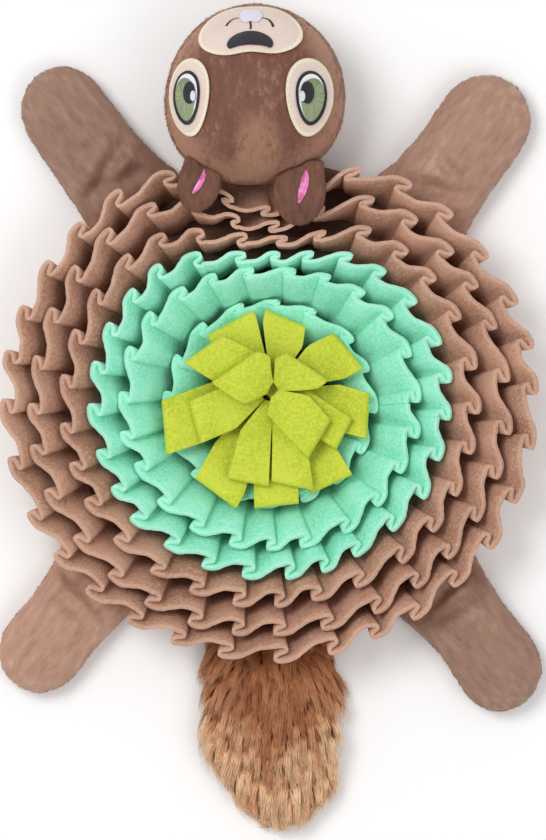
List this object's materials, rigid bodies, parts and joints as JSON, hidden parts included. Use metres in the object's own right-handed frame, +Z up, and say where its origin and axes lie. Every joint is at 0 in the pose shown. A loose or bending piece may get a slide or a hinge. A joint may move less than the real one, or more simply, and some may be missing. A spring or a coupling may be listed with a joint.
{
  "type": "dog snuffle toy",
  "caption": "Flat plush squirrel with a round back of pleated fleece ruffles and a looped rosette, for hiding treats that a dog sniffs out.",
  "frame": {"origin": "centre of the round mat's flat underside", "axes": "+Z up, away from the floor; +Y from the mat's middle towards the head, -Y towards the tail; +X to the right seen from above"},
  "size_m": [0.3133, 0.4768, 0.087],
  "materials": {
    "brown_fleece": "matte brushed fleece",
    "mint_fleece": "matte brushed fleece",
    "lime_fleece": "matte brushed fleece",
    "plush": "short pile, soft sheen",
    "dark_plush": "short pile, matte",
    "fur": "long pile fur",
    "cream_felt": "matte short felt",
    "green_thread": "satin stitch",
    "black_thread": "satin stitch",
    "white_thread": "satin stitch",
    "pink_satin": "smooth satin"
  },
  "bodies": {
    "root": {"base": "dark_plush", "ruffle_brown_outer": "brown_fleece", "ruffle_brown_middle": "brown_fleece", "ruffle_brown_inner": "brown_fleece", "ruffle_mint_outer": "mint_fleece", "ruffle_mint_middle": "mint_fleece", "ruffle_mint_inner": "mint_fleece", "rosette_knot": "lime_fleece", "rosette_loop_1": "lime_fleece", "rosette_loop_2": "lime_fleece", "rosette_loop_3": "lime_fleece", "rosette_loop_4": "lime_fleece", "rosette_loop_5": "lime_fleece", "rosette_loop_6": "lime_fleece", "rosette_loop_7": "lime_fleece", "rosette_loop_8": "lime_fleece", "rosette_loop_9": "lime_fleece", "rosette_loop_10": "lime_fleece", "rosette_loop_11": "lime_fleece", "rosette_loop_12": "lime_fleece", "rosette_loop_13": "lime_fleece", "rosette_loop_14": "lime_fleece", "rosette_loop_15": "lime_fleece", "rosette_loop_16": "lime_fleece", "limb_front_left": "plush", "limb_front_right": "plush", "limb_back_left": "plush", "limb_back_right": "plush", "head": "plush", "eye_patch_left": "cream_felt", "eye_patch_right": "cream_felt", "eye_iris_left": "green_thread", "eye_iris_right": "green_thread", "eye_pupil_left": "black_thread", "eye_pupil_right": "black_thread", "muzzle_patch": "cream_felt", "nose": "black_thread", "teeth": "white_thread", "ear_left": "plush", "ear_left_lining": "pink_satin", "ear_right": "plush", "ear_right_lining": "pink_satin", "tail": "fur"}
  },
  "joints": []
}
